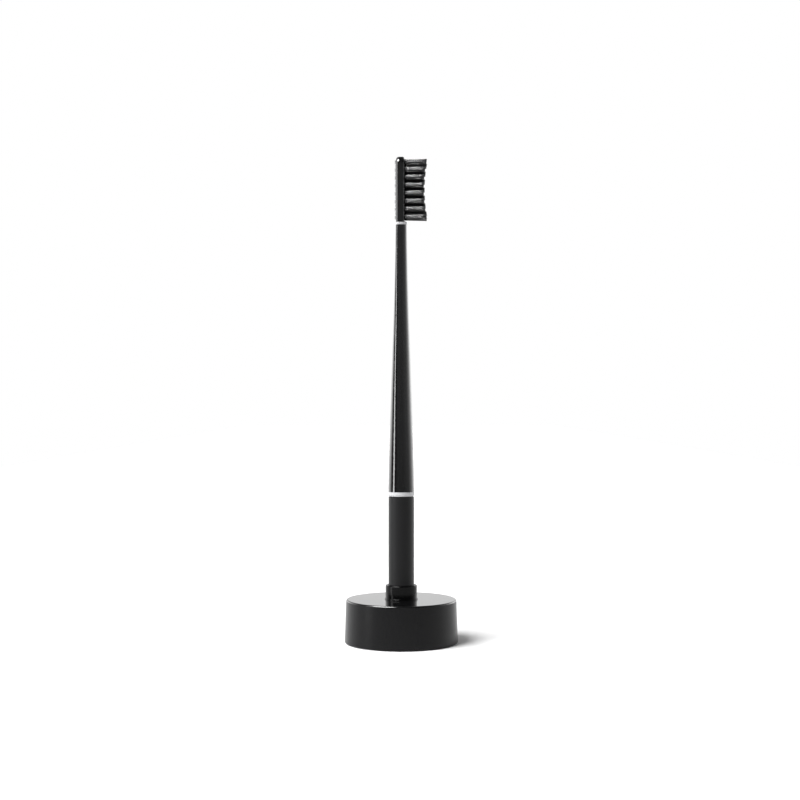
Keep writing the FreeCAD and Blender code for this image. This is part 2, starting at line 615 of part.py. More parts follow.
def make_taper():
    """Long shell from round below to a round-cornered oblong at the head, and what shows in it."""
    heights = ["ring_top"] + [f"taper_z_{i}" for i in range(1, TAPER_SECTIONS - 1)] + ["taper_top"]
    outside = loft("taper_outside", [
        (heights[i], f"taper_x_{i}", f"taper_y_{i}", f"taper_front_{i}", f"taper_rear_{i}")
        for i in range(TAPER_SECTIONS)])
    cavity = turned("taper_cavity", [
        ("0", "spigot_bottom"),
        ("spigot_bore", "spigot_bottom"),
        ("spigot_bore", "ring_top"),
        ("cavity_wide_radius", "ring_top"),
        ("cavity_wide_radius", "cavity_wide_top"),
        ("cavity_neck_radius", "cavity_neck_top"),
        ("cavity_tip_radius", "cavity_tip_bottom"),
        ("cavity_tip_radius", "cavity_tip_top"),
        ("0", "cavity_tip_top"),
    ])
    spigot = rod("taper_spigot", "spigot_radius", "ring_top - spigot_bottom + ring_gap", z="spigot_bottom")
    pin_way = rod("pin_way", "pin_radius", "taper_top - cavity_tip_top + pin_fit", x="pin_x",
                  z="cavity_tip_top - pin_fit")
    seal_seat = rod("neck_seal_seat", "neck_seal_radius", "neck_seal_height + pin_fit", x="pin_x",
                    z="taper_top - neck_seal_height")
    window = button_outline("button_window", "button_gap", "0", "button_reach")
    pipe_way = rod("pipe_way", "pipe_radius", "button_reach", axis="x", z="led_z")
    node(cut("taper_shell_solid", fuse("taper_with_spigot", outside, spigot), cavity, pin_way,
             seal_seat, window, pipe_way), "taper_shell")
    stem = button_outline("button_stem", "0", "button_flange_x", "button_reach")
    flange = button_outline("button_flange", "button_flange_edge", "button_flange_x",
                            "button_flange_x + button_flange_thickness")
    plunger = rod("button_plunger", "plunger_radius", "button_flange_x - plunger_end_x", axis="x",
                  x="plunger_end_x", z="switch_z")
    node(fuse("power_button_solid", common("button_face", stem, outside), flange, plunger), "power_button")
    pipe = rod("light_pipe_bar", "pipe_radius",
               "button_reach - handle_board_x - handle_board_thickness - led_height", axis="x",
               x="handle_board_x + handle_board_thickness + led_height", z="led_z")
    node(common("light_pipe_solid", pipe, outside), "light_pipe")


# ---------------------------------------------------------------- inside the handle

BOARD_FACE_X = "handle_board_x + handle_board_thickness"


def make_chassis():
    """Tray behind the board, with two rails, and a cup at its top that holds the motor."""
    floor = block("chassis_floor_plate", "chassis_back_x", "chassis_back_x + chassis_floor",
                  "-chassis_half_width", "chassis_half_width", "chassis_bottom", "holder_bottom")
    rails = [block(f"chassis_rail_{i}", "chassis_back_x", "handle_board_x", low, high, "chassis_bottom",
                   "holder_bottom")
             for i, (low, high) in enumerate((("-chassis_half_width", "-chassis_half_width + chassis_rail"),
                                              ("chassis_half_width - chassis_rail", "chassis_half_width")))]
    holder = rod("motor_holder", "motor_radius + holder_wall", "holder_top - holder_bottom",
                 z="holder_bottom")
    motor_room = rod("motor_room", "motor_radius", "holder_top - motor_bottom", z="motor_bottom")
    wire_ways = [rod(f"wire_way_{side + 1}", "wire_radius + wire_clearance", "holder_top - holder_bottom",
                     x="wire_x", y=f"{side} * wire_y", z="holder_bottom") for side in (-1, 1)]
    node(cut("chassis_solid", fuse("chassis_blank", floor, holder, *rails), motor_room, *wire_ways),
         "chassis")


def make_handle_board():
    """Board facing the button, its controller, the switch and the indicator."""
    node(block("handle_board_solid", "handle_board_x", BOARD_FACE_X, "-handle_board_half_width",
               "handle_board_half_width", "handle_board_bottom", "handle_board_top"), "handle_board")
    node(block("controller_chip_solid", BOARD_FACE_X, f"{BOARD_FACE_X} + controller_height",
               "-controller_size / 2", "controller_size / 2", "controller_z - controller_size / 2",
               "controller_z + controller_size / 2"), "controller_chip")
    case = block("switch_case", BOARD_FACE_X, f"{BOARD_FACE_X} + switch_height", "-switch_half",
                 "switch_half", "switch_z - switch_half", "switch_z + switch_half")
    well = rod("switch_well", "switch_hole_radius", "switch_hole_depth", axis="x",
               x=f"{BOARD_FACE_X} + switch_height - switch_hole_depth", z="switch_z")
    node(cut("button_switch_solid", case, well), "button_switch")
    node(block("indicator_led_solid", BOARD_FACE_X, f"{BOARD_FACE_X} + led_height", "-led_half",
               "led_half", "led_z - led_half", "led_z + led_half"), "indicator_led")


# ---------------------------------------------------------------- motor

MOTOR_TOP = "motor_bottom + motor_length"
NOSE_TOP = f"{MOTOR_TOP} + motor_nose_height"
BELL_TOP = "motor_bottom + end_bell_height"
WINDING_BOTTOM = f"{BELL_TOP} + winding_bottom_gap"


def make_motor():
    """Coreless motor: can, end bell, magnet and two sleeve bearings stay still."""
    bore = "bearing_radius"
    can = turned("motor_can", [
        ("motor_radius - motor_wall", "motor_bottom"),
        ("motor_radius", "motor_bottom"),
        ("motor_radius", MOTOR_TOP),
        ("motor_nose_radius", MOTOR_TOP),
        ("motor_nose_radius", NOSE_TOP),
        (bore, NOSE_TOP),
        (bore, f"{MOTOR_TOP} - 2 * motor_wall"),
        ("motor_radius - motor_wall", f"{MOTOR_TOP} - 2 * motor_wall"),
    ])
    node(can, "motor_can")
    node(tube("motor_end_bell_solid", "motor_radius - motor_wall", bore, "motor_bottom",
              "end_bell_height"), "motor_end_bell")
    node(tube("motor_magnet_solid", "magnet_radius", "bearing_radius",
              f"{MOTOR_TOP} - 2 * motor_wall - magnet_length", "magnet_length"), "motor_magnet")
    sleeve_bore = "shaft_radius + bearing_gap"
    bearings = [tube("lower_bearing", bore, sleeve_bore, "motor_bottom", "end_bell_height"),
                tube("upper_bearing", bore, sleeve_bore, f"{MOTOR_TOP} - 2 * motor_wall",
                     "2 * motor_wall + motor_nose_height")]
    node(group("motor_bearings_group", *bearings), "motor_bearings")
    leads = [rod(f"motor_lead_{side + 1}", "wire_radius", "motor_bottom - handle_board_top",
                 x="wire_x", y=f"{side} * wire_y", z="handle_board_top") for side in (-1, 1)]
    node(group("motor_leads_group", *leads), "motor_leads")


def make_rotor():
    """What spins: shaft, cup-shaped winding, commutator and an eccentric weight above the nose."""
    shaft_bottom = "motor_bottom + shaft_end_gap"
    node(rod("motor_shaft_solid", "shaft_radius",
             f"{NOSE_TOP} + shaft_overhang - ({shaft_bottom})", z=shaft_bottom), "motor_shaft")
    cup = turned("rotor_winding", [
        ("shaft_radius", WINDING_BOTTOM),
        ("winding_outer_radius", WINDING_BOTTOM),
        ("winding_outer_radius", f"{WINDING_BOTTOM} + winding_length"),
        ("winding_inner_radius", f"{WINDING_BOTTOM} + winding_length"),
        ("winding_inner_radius", f"{WINDING_BOTTOM} + winding_floor"),
        ("shaft_radius", f"{WINDING_BOTTOM} + winding_floor"),
    ])
    node(cup, "rotor_winding")
    node(tube("commutator_solid", "commutator_radius", "shaft_radius",
              f"{WINDING_BOTTOM} - commutator_height", "commutator_height"), "commutator")
    weight_bottom = f"{NOSE_TOP} + weight_bottom_gap"
    disc = rod("weight_disc", "weight_radius", "weight_length", z=weight_bottom)
    half = block("weight_half", "-weight_radius", "0", "-weight_radius", "weight_radius", weight_bottom,
                 f"{weight_bottom} + weight_length")
    hub = rod("weight_hub", "weight_hub_radius", "weight_length", z=weight_bottom)
    hole = rod("weight_hole", "shaft_radius", "weight_length", z=weight_bottom)
    node(cut("eccentric_weight_solid", fuse("weight_blank", common("weight_sector", disc, half), hub),
             hole), "eccentric_weight")


# ---------------------------------------------------------------- brush head

RING_BOTTOM = "taper_top + head_joint_gap"
HEAD_BOTTOM = f"{RING_BOTTOM} + head_ring_height"
SLAB_BOTTOM = f"{HEAD_BOTTOM} + head_skirt"
HOLE_FLOOR_X = "head_face_x - tuft_hole_depth"
RING_OUTLINE = ("head_ring_half_x", "head_ring_half_y", "head_ring_front", "head_ring_rear", "head_ring_x")


def make_neck():
    """Pin that carries the head, standing out of the taper, and the seal round its foot."""
    pin = doc.addObject("PartDesign::Body", "neck_pin")
    sketch = new_sketch(pin, "neck_pin_outline", "XZ_Plane")
    polygon(sketch, [
        ("pin_x", "pin_bottom"),
        ("pin_x + pin_radius", "pin_bottom"),
        ("pin_x + pin_radius", "pin_top - pin_chamfer"),
        ("pin_x + pin_radius - pin_chamfer", "pin_top"),
        ("pin_x", "pin_top"),
    ])
    turn = pin.newObject("PartDesign::Revolution", "neck_pin_turn")
    turn.Profile = sketch
    turn.ReferenceAxis = (sketch, ["Edge5"])
    turn.Angle = 360
    pin.Tip = turn
    node(pin, "neck_pin")
    ring = rod("neck_seal_disc", "neck_seal_radius", "neck_seal_height", x="pin_x",
               z="taper_top - neck_seal_height")
    way = rod("neck_seal_way", "pin_radius", "neck_seal_height", x="pin_x",
              z="taper_top - neck_seal_height")
    node(cut("neck_seal_solid", ring, way), "neck_seal")


def tuft_places():
    """Each tuft's column offset and height: full rows outside, a staggered column between them."""
    outer = [(f"{side} * tuft_column_y", f"tuft_first_z + {row} * tuft_pitch")
             for side in (-1, 1) for row in range(TUFT_ROWS)]
    inner = [("0", f"tuft_first_z + {row + 0.5} * tuft_pitch") for row in range(TUFT_ROWS - 1)]
    return outer, inner


def make_head_ring():
    """Metal ring at the foot of the head, bored for the pin."""
    ring = loft("head_ring_blank", [(RING_BOTTOM, *RING_OUTLINE), (HEAD_BOTTOM, *RING_OUTLINE)])
    way = rod("ring_pin_way", "pin_radius + pin_fit", "head_ring_height + 2 * pin_fit", x="pin_x",
              z=f"{RING_BOTTOM} - pin_fit")
    return node(cut("head_ring_solid", ring, way), "head_ring")


def slab_rim(face_x):
    """A test for the edges round the slab's face at an X, but for the lowest one."""
    def chosen(edge):
        box = edge.BoundBox
        flat = abs(box.XMin - size(face_x)) < NEAR and abs(box.XMax - size(face_x)) < NEAR
        return flat and box.ZMax > size(SLAB_BOTTOM) + NEAR
    return chosen


def head_slab():
    """The head's round-cornered slab, padded along X, with every edge but the lowest rounded."""
    body = doc.addObject("PartDesign::Body", "head_slab")
    sketch = new_sketch(body, "head_slab_outline", "YZ_Plane", "head_back_x")
    half = "head_half_width"
    shoulder = "head_top - head_corner"
    corners = [
        (f"-{half}", SLAB_BOTTOM), (half, SLAB_BOTTOM), (half, shoulder),
        (f"{half} - head_corner", "head_top"), (f"-{half} + head_corner", "head_top"),
        (f"-{half}", shoulder),
    ]
    points = [FreeCAD.Vector(size(across), size(up), 0) for across, up in corners]
    centres = [(f"{half} - head_corner", shoulder), (f"-{half} + head_corner", shoulder)]
    middles = [FreeCAD.Vector(size(across), size(up), 0) for across, up in centres]
    radius = size("head_corner")
    normal = FreeCAD.Vector(0, 0, 1)
    sketch.addGeometry(Part.LineSegment(points[0], points[1]), False)
    sketch.addGeometry(Part.LineSegment(points[1], points[2]), False)
    sketch.addGeometry(Part.ArcOfCircle(Part.Circle(middles[0], normal, radius), 0, QUARTER_TURN), False)
    sketch.addGeometry(Part.LineSegment(points[3], points[4]), False)
    left_round = Part.Circle(middles[1], normal, radius)
    sketch.addGeometry(Part.ArcOfCircle(left_round, QUARTER_TURN, 2 * QUARTER_TURN), False)
    sketch.addGeometry(Part.LineSegment(points[5], points[0]), False)
    for i in range(len(corners)):
        sketch.addConstraint(Sketcher.Constraint("Coincident", i, 2, (i + 1) % len(corners), 1))
    for i in (0, 1, 3, 5):
        fix_point(sketch, i, 1, *corners[i])
    for arc, (across, up) in zip((2, 4), centres):
        fix_point(sketch, arc, 3, across, up)
    pad = body.newObject("PartDesign::Pad", "head_slab_pad")
    pad.Profile = sketch
    bind(pad, Length="head_face_x - head_back_x")
    body.Tip = pad
    soften(body, "Fillet", "head_rear_edge", slab_rim("head_back_x"))
    return soften(body, "Fillet", "head_edge", slab_rim("head_face_x"))


def make_head():
    """Head slab on a flared skirt, bored for the pin and its clip and drilled for the tufts."""
    slab_x = "(head_back_x + head_face_x) / 2"
    slab_half_x = "(head_face_x - head_back_x) / 2"
    skirt = loft("head_skirt_blank", [
        (HEAD_BOTTOM, *RING_OUTLINE),
        (SLAB_BOTTOM, slab_half_x, "head_half_width", "head_edge", "head_rear_edge", slab_x),
    ])
    bore_top = "pin_top + head_bore_end_gap"
    bore = rod("head_bore", "pin_radius + pin_fit", f"{bore_top} - ({RING_BOTTOM})", x="pin_x",
               z=RING_BOTTOM)
    clip_seat = rod("clip_seat", "clip_radius", "clip_height", x="pin_x", z="clip_bottom")
    outer, inner = tuft_places()
    holes = []
    anchors = []
    tufts = dict(outer=[], inner=[])
    trims = dict(outer="trim_middle_x", inner="trim_middle_x + inner_tuft_extra")
    for column, places in (("outer", outer), ("inner", inner)):
        for i, (y, z) in enumerate(places):
            name = f"{column}_tuft_{i}"
            holes.append(rod(name + "_hole", "tuft_radius", "tuft_hole_depth + head_skirt + head_edge",
                             axis="x", x=HOLE_FLOOR_X, y=y, z=z))
            anchors.append(block(name + "_anchor", HOLE_FLOOR_X, f"{HOLE_FLOOR_X} + anchor_thickness",
                                 f"{y} - anchor_half_width", f"{y} + anchor_half_width",
                                 f"{z} - anchor_half_length", f"{z} + anchor_half_length"))
            start = f"{HOLE_FLOOR_X} + anchor_thickness"
            tip = f"{trims[column]} + trim_rise * (({z} - trim_middle_z) / trim_reach)^2"
            tufts[column].append(rod(name, "tuft_radius", f"{tip} - ({start})", axis="x", x=start,
                                     y=y, z=z))
    node(cut("head_body_solid", fuse("head_blank", skirt, head_slab()), bore, clip_seat, *holes),
         "head_body")
    node(group("tuft_anchors_group", *anchors), "tuft_anchors")
    for column, solids in tufts.items():
        node(group(column + "_tufts_group", *solids), column + "_tufts")
    sleeve = rod("clip_sleeve", "clip_radius", "clip_height", x="pin_x", z="clip_bottom")
    clip_way = rod("clip_way", "pin_radius + pin_fit", "clip_height", x="pin_x", z="clip_bottom")
    node(cut("head_clip_solid", sleeve, clip_way), "head_clip")


def make_tongue_cleaner():
    """Soft pad on the head's back with a rib at each tuft row and a lower one between rows."""
    back = "head_back_x"
    pad = block("cleaner_pad", f"{back} - cleaner_thickness", back, "-cleaner_half_width",
                "cleaner_half_width", "cleaner_bottom", "cleaner_top")
    ribs = []
    for i in range(2 * TUFT_ROWS - 1):
        large = i % 2 == 0
        height, half = ("rib_height", "rib_half_thickness") if large else \
            ("rib_small_height", "rib_small_half_thickness")
        middle = f"tuft_first_z + {i / 2} * tuft_pitch"
        ribs.append(block(f"cleaner_rib_{i}", f"{back} - cleaner_thickness - {height}", back,
                          "-rib_half_width", "rib_half_width", f"{middle} - {half}",
                          f"{middle} + {half}"))
    return node(fuse("tongue_cleaner_solid", pad, *ribs), "tongue_cleaner")


# ---------------------------------------------------------------- build, check and write

def check():
    """Stop on any failed object, or any sub-part without a valid solid."""
    for obj in doc.Objects:
        bad = [state for state in obj.State if state in ("Invalid", "Error")]
        if bad:
            raise RuntimeError(f"{obj.Name} is {bad}")
    for obj in nodes:
        if obj.Shape.isNull() or not obj.Shape.isValid() or not obj.Shape.Solids:
            raise RuntimeError(f"{obj.Label} has no valid solid")


make_base_shell()
make_bottom_plate()
make_foot_ring()
make_housing_screws()
make_socket_cup()
make_charger_coil()
make_ballast_ring()
make_charger_board()
make_inlet()
make_grip_sleeve()
make_end_cap()
make_pickup()
make_cell()
make_trim_ring()
make_taper()
make_chassis()
make_handle_board()
make_motor()
make_rotor()
make_neck()
make_head_ring()
make_head()
make_tongue_cleaner()
doc.recompute()
check()
os.makedirs("parts", exist_ok=True)
for obj in nodes:
    obj.Shape.exportStep(f"parts/{obj.Label}.step")
    print(f"{obj.Label}: {len(obj.Shape.Solids)} solids, {obj.Shape.Volume:.1f} mm3")
print(len(nodes), "sub-parts")
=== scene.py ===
import json
import math
import random

import bpy
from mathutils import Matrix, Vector


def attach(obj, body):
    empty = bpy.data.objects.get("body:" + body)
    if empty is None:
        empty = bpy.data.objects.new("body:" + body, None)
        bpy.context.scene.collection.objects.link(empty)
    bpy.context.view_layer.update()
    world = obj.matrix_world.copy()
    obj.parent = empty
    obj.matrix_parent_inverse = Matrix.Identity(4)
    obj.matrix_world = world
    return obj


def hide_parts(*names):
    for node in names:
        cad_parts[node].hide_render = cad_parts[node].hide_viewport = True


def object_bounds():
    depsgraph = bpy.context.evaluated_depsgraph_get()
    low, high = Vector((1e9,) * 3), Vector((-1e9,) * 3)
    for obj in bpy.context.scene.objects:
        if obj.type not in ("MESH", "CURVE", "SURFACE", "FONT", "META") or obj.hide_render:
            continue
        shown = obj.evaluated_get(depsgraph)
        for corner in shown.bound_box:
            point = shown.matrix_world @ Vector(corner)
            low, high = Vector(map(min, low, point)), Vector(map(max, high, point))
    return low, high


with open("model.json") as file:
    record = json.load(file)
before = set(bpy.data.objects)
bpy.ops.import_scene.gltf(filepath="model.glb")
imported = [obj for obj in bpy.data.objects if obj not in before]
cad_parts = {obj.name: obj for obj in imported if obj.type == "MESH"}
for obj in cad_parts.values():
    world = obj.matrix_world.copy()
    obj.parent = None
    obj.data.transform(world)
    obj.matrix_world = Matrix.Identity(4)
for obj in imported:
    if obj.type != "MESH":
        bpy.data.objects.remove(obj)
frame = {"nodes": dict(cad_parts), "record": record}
cad_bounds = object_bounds()

MM = 0.001
NODES = frame["nodes"]
SEED = 11

# Camera: level with the middle of the brush, looking along +Y at the side of the bristles.
CAMERA_PLACE = Vector((-0.63 * MM, -0.7155, 0.1184))
SENSOR_WIDTH = 36.0
FOCAL_LENGTH = 65.9

# Bristle filaments
FILAMENT_RADIUS = 0.085 * MM
FILAMENT_SIDES = 6
FILAMENT_STEPS = 5
FILAMENTS_PER_TUFT = 58
TUFT_FLARE = 0.2
TUFT_FLARE_JITTER = 0.09
FLARE_BEND = 1.7
SIDE_DRIFT = 0.035
TIP_JITTER = 0.1 * MM
TIP_FORWARD_SHARE = 0.3
TIP_LENGTH = 0.7
TIP_RADIUS = 0.45
SAME_SPOT_DIGITS = 7

# Base shell: values on the side wall and on the top, and the normal's Z between which they change
SHELL_TURN = (0.15, 0.45)
SHELL_ROUGHNESS = (0.27, 0.11)
SHELL_SPECULAR = (0.15, 0.55)
SHELL_GRAIN_STRENGTH = (0.55, 0.0)
SHELL_GRAIN_SCALE = 1500.0
SHELL_GRAIN_DEPTH = 0.08 * MM

# Enamelled wire and circuit board
WIRE_BANDS_SCALE = 1250.0
WIRE_DEPTH = 0.08 * MM
TRACK_SCALE = 420.0
TRACK_EDGE = (0.42, 0.5)

# Noise detail and the stretch of a noise's grey values that a mottle spreads over
GRAIN_DETAIL = 2.0
MOTTLE_DETAIL = 3.0
MOTTLE_EDGE = (0.35, 0.65)

# Floor, in metres from the middle of the base
FLOOR_HALF_WIDTH = 0.7
FLOOR_FRONT = -0.4
FLOOR_BACK = 6.0

# World: brightness by bearing in degrees from the front (left is negative), and by height, where
# 0 is straight down, 0.5 the horizon and 1 straight up
WORLD_STRENGTH = 4.125
FILL_RADIANCE = 0.3
WORLD_BY_BEARING = (
    (-178, 0.3), (-160, 0.34), (-145, 0.9), (-125, 0.9), (-109, 0.55), (-97, 0.1), (-90, 0.0),
    (-55, 0.0), (-35, 0.06), (20, 0.06), (46, 0.09), (59, 0.105), (71, 0.125), (86, 0.26),
    (101, 0.42), (120, 0.8), (148, 1.0), (160, 0.34), (178, 0.3),
)
WORLD_BY_HEIGHT = ((0.47, 0.6), (0.5, 0.8), (0.55, 1.0), (0.64, 0.9), (0.74, 0.2), (1.0, 0.1))

# Lights. Suns: direction, strength and angle in degrees. Panels: bearing in degrees from the front,
# distance, height, width, tallness and power.
TOP_BOX = dict(direction=(-0.5, -0.36, 0.78), strength=4.6, angle=36)
EDGE_BOX = dict(direction=(-0.45, -0.42, 0.72), strength=6.5, angle=40)
CROWN_BOX = dict(direction=(0.0, -0.31, 1.0), strength=11.5, angle=14)
LEFT_STRIP = dict(bearing=-70.5, distance=0.9, height=0.25, width=0.22, tall=1.3, power=6.5)
LOW_STRIP = dict(bearing=-78, distance=0.15, height=0.03, width=0.014, tall=0.06, power=0.022)
SUN_DISTANCE = 2
EDGE_BOX_PIECES = ("base_shell", "socket_cup", "head_body")


# ---------------------------------------------------------------- materials

def new_material(name, color, roughness, **sockets):
    """A Principled material with uniform values set on the shader's own sockets."""
    material = bpy.data.materials.new(name)
    material.use_nodes = True
    shader = material.node_tree.nodes["Principled BSDF"]
    shader.inputs["Base Color"].default_value = (*color, 1.0)
    shader.inputs["Roughness"].default_value = roughness
    for socket, value in sockets.items():
        shader.inputs[socket.replace("_", " ")].default_value = value
    return material


def shader_of(material):
    """The material's Principled shader."""
    return material.node_tree.nodes["Principled BSDF"]


def add_node(material, kind, **inputs):
    node = material.node_tree.nodes.new(kind)
    for name, value in inputs.items():
        node.inputs[name.replace("_", " ")].default_value = value
    return node


def link(material, source, target):
    material.node_tree.links.new(source, target)


def object_noise(material, scale, detail=GRAIN_DETAIL):
    """Noise fixed to the piece, with its scale in bumps for each metre."""
    place = add_node(material, "ShaderNodeTexCoord")
    noise = add_node(material, "ShaderNodeTexNoise", Scale=scale, Detail=detail)
    link(material, place.outputs["Object"], noise.inputs["Vector"])
    return noise


def add_bump(material, height, depth):
    """A bump of a real depth in metres from a height output."""
    bump = add_node(material, "ShaderNodeBump", Distance=depth)
    link(material, height, bump.inputs["Height"])
    link(material, bump.outputs["Normal"], shader_of(material).inputs["Normal"])
    return bump


def add_grain(material, scale, depth):
    """Fine surface grain, as bump of a real depth in metres."""
    bump = add_bump(material, object_noise(material, scale).outputs["Fac"], depth)
    bump.inputs["Strength"].default_value = 1.0
    return material


def color_between(material, source, colors, positions):
    """Base colour from a grey output, between two colours at two positions."""
    ramp = add_node(material, "ShaderNodeValToRGB")
    for element, color, position in zip(ramp.color_ramp.elements, colors, positions):
        element.position = position
        element.color = (*color, 1)
    link(material, source, ramp.inputs["Fac"])
    link(material, ramp.outputs["Color"], shader_of(material).inputs["Base Color"])


def add_mottle(material, low, high, scale):
    """Base colour that wanders between two close colours."""
    noise = object_noise(material, scale, MOTTLE_DETAIL)
    color_between(material, noise.outputs["Fac"], (low, high), MOTTLE_EDGE)
    return material


def add_roughness_range(material, low, high, scale):
    """Roughness that wanders between two values."""
    noise = object_noise(material, scale)
    spread = add_node(material, "ShaderNodeMapRange", To_Min=low, To_Max=high)
    link(material, noise.outputs["Fac"], spread.inputs["Value"])
    link(material, spread.outputs["Result"], shader_of(material).inputs["Roughness"])
    return material


def by_slope(material, slope, side, top):
    """An output that goes from one value on upright faces to another on level ones."""
    spread = add_node(material, "ShaderNodeMapRange", From_Min=SHELL_TURN[0], From_Max=SHELL_TURN[1],
                      To_Min=side, To_Max=top)
    link(material, slope, spread.inputs["Value"])
    return spread.outputs["Result"]


def satin_shell():
    """Black shell: a polished top face and edge, and a finely spark-eroded side wall."""
    material = new_material("satin_shell", (0.004, 0.004, 0.0043), 0.4,
                            Specular_IOR_Level=SHELL_SPECULAR[0])
    geometry = add_node(material, "ShaderNodeNewGeometry")
    split = add_node(material, "ShaderNodeSeparateXYZ")
    link(material, geometry.outputs["True Normal"], split.inputs["Vector"])
    slope = split.outputs["Z"]
    sockets = shader_of(material).inputs
    link(material, by_slope(material, slope, *SHELL_ROUGHNESS), sockets["Roughness"])
    link(material, by_slope(material, slope, *SHELL_SPECULAR), sockets["Specular IOR Level"])
    noise = object_noise(material, SHELL_GRAIN_SCALE)
    bump = add_bump(material, noise.outputs["Fac"], SHELL_GRAIN_DEPTH)
    link(material, by_slope(material, slope, *SHELL_GRAIN_STRENGTH), bump.inputs["Strength"])
    return material


def winding(name, color):
    """Enamelled wire wound in close turns round Z."""
    material = new_material(name, color, 0.28, Metallic=1.0)
    place = add_node(material, "ShaderNodeTexCoord")
    wave = add_node(material, "ShaderNodeTexWave", Scale=WIRE_BANDS_SCALE, Distortion=0.0)
    wave.bands_direction = "Z"
    link(material, place.outputs["Object"], wave.inputs["Vector"])
    bump = add_bump(material, wave.outputs["Fac"], WIRE_DEPTH)
    bump.inputs["Strength"].default_value = 1.0
    return material


def circuit_board():
    """Green solder mask over paler copper tracks."""
    material = new_material("board_green", (0.01, 0.09, 0.035), 0.3, Coat_Weight=0.3)
    place = add_node(material, "ShaderNodeTexCoord")
    cells = add_node(material, "ShaderNodeTexVoronoi", Scale=TRACK_SCALE)
    cells.distance = "CHEBYCHEV"
    cells.feature = "F1"
    link(material, place.outputs["Object"], cells.inputs["Vector"])
    color_between(material, cells.outputs["Distance"], ((0.016, 0.15, 0.06), (0.008, 0.07, 0.03)),
                  TRACK_EDGE)
    return material


def make_materials():
    """One material for each of the record's slots."""
    black = (0.003, 0.003, 0.0033)
    steel = (0.56, 0.57, 0.58)
    return dict(
        satin_shell=satin_shell(),
        plate_black=add_grain(new_material("plate_black", (0.02, 0.02, 0.021), 0.5), 3000.0, 0.03 * MM),
        gloss_cup=new_material("gloss_cup", (0.0015, 0.0015, 0.0016), 0.14, Specular_IOR_Level=0.1),
        foot_rubber=add_grain(new_material("foot_rubber", (0.018, 0.018, 0.018), 0.75), 2500.0, 0.05 * MM),
        seal_rubber=new_material("seal_rubber", (0.05, 0.05, 0.055), 0.6),
        zinc_steel=add_roughness_range(new_material("zinc_steel", steel, 0.3, Metallic=1.0), 0.22, 0.38,
                                       900.0),
        coil_copper=winding("coil_copper", (0.62, 0.25, 0.09)),
        ferrite=add_mottle(new_material("ferrite", (0.04, 0.04, 0.043), 0.55), (0.03, 0.03, 0.033),
                           (0.055, 0.055, 0.058), 1500.0),
        moulding_natural=add_grain(new_material("moulding_natural", (0.03, 0.03, 0.033), 0.45), 2500.0,
                                   0.03 * MM),
        board_green=circuit_board(),
        component_black=new_material("component_black", (0.02, 0.02, 0.02), 0.5),
        component_tan=new_material("component_tan", (0.42, 0.3, 0.18), 0.4),
        nickel=new_material("nickel", (0.66, 0.64, 0.6), 0.25, Metallic=1.0),
        grip_soft=add_grain(new_material("grip_soft", (0.0065, 0.0065, 0.007), 0.46, Specular_IOR_Level=0.2),
                            5000.0, 0.02 * MM),
        cell_sleeve=new_material("cell_sleeve", (0.03, 0.1, 0.3), 0.3, Coat_Weight=0.5),
        trim_silver=add_roughness_range(new_material("trim_silver", (0.48, 0.48, 0.49), 0.6, Metallic=0.15,
                                                 Specular_IOR_Level=0.3), 0.55, 0.65, 1500.0),
        taper_black=add_grain(new_material("taper_black", black, 0.06, Specular_IOR_Level=0.9), 1900.0,
                              0.004 * MM),
        pipe_clear=new_material("pipe_clear", (0.9, 0.92, 0.95), 0.12, Transmission_Weight=0.85, IOR=1.49),
        led_white=new_material("led_white", (0.85, 0.83, 0.7), 0.3),
        magnet=new_material("magnet", (0.35, 0.35, 0.37), 0.3, Metallic=1.0),
        bronze=new_material("bronze", (0.55, 0.38, 0.16), 0.35, Metallic=1.0),
        tungsten=add_mottle(new_material("tungsten", (0.3, 0.3, 0.31), 0.45, Metallic=1.0),
                            (0.26, 0.26, 0.27), (0.36, 0.36, 0.37), 2200.0),
        head_black=add_grain(new_material("head_black", black, 0.12, Specular_IOR_Level=0.7), 2200.0,
                             0.006 * MM),
        cleaner_soft=new_material("cleaner_soft", (0.3, 0.3, 0.31), 0.5),
        bristle_black=new_material("bristle_black", (0.008, 0.008, 0.009), 0.3, Specular_IOR_Level=0.8),
    )


def dress_nodes(materials):
    """Each CAD node gets its slot's material."""
    for row in frame["record"]["subparts"]:
        piece = NODES[row["node"]]
        piece.data.materials.clear()
        piece.data.materials.append(materials[row["material_slot"]])


# ---------------------------------------------------------------- bristles

def tuft_boxes(node):
    """The box of each separate rod in a tuft node, as (lowest, highest) corners."""
    mesh = NODES[node].data
    owner = list(range(len(mesh.vertices)))

    def root(i):
        while owner[i] != i:
            owner[i] = owner[owner[i]]
            i = owner[i]
        return i

    seen = {}
    for i, vertex in enumerate(mesh.vertices):
        spot = tuple(round(c, SAME_SPOT_DIGITS) for c in vertex.co)
        owner[i] = seen.setdefault(spot, i)
    for edge in mesh.edges:
        a, b = (root(i) for i in edge.vertices)
        owner[a] = b
    groups = {}
    for i, vertex in enumerate(mesh.vertices):
        groups.setdefault(root(i), []).append(vertex.co)
    boxes = []
    for corners in groups.values():
        low = Vector(min(c[k] for c in corners) for k in range(3))
        high = Vector(max(c[k] for c in corners) for k in range(3))
        boxes.append((low, high))
    return sorted(boxes, key=lambda pair: (pair[0].y, pair[0].z))


def trim_slope(boxes):
    """How far the tips reach, as a parabola in height through the tufts' own ends."""
    heights = [(low.z + high.z) / 2 for low, high in boxes]
    reaches = [high.x for low, high in boxes]
    nearest = min(range(len(boxes)), key=lambda i: reaches[i])
    middle = (min(heights) + max(heights)) / 2
    end = max(range(len(boxes)), key=lambda i: abs(heights[i] - middle))
    rise = (reaches[end] - reaches[nearest]) / ((heights[end] - middle) ** 2)
    return lambda height: reaches[nearest] + rise * (height - middle) ** 2


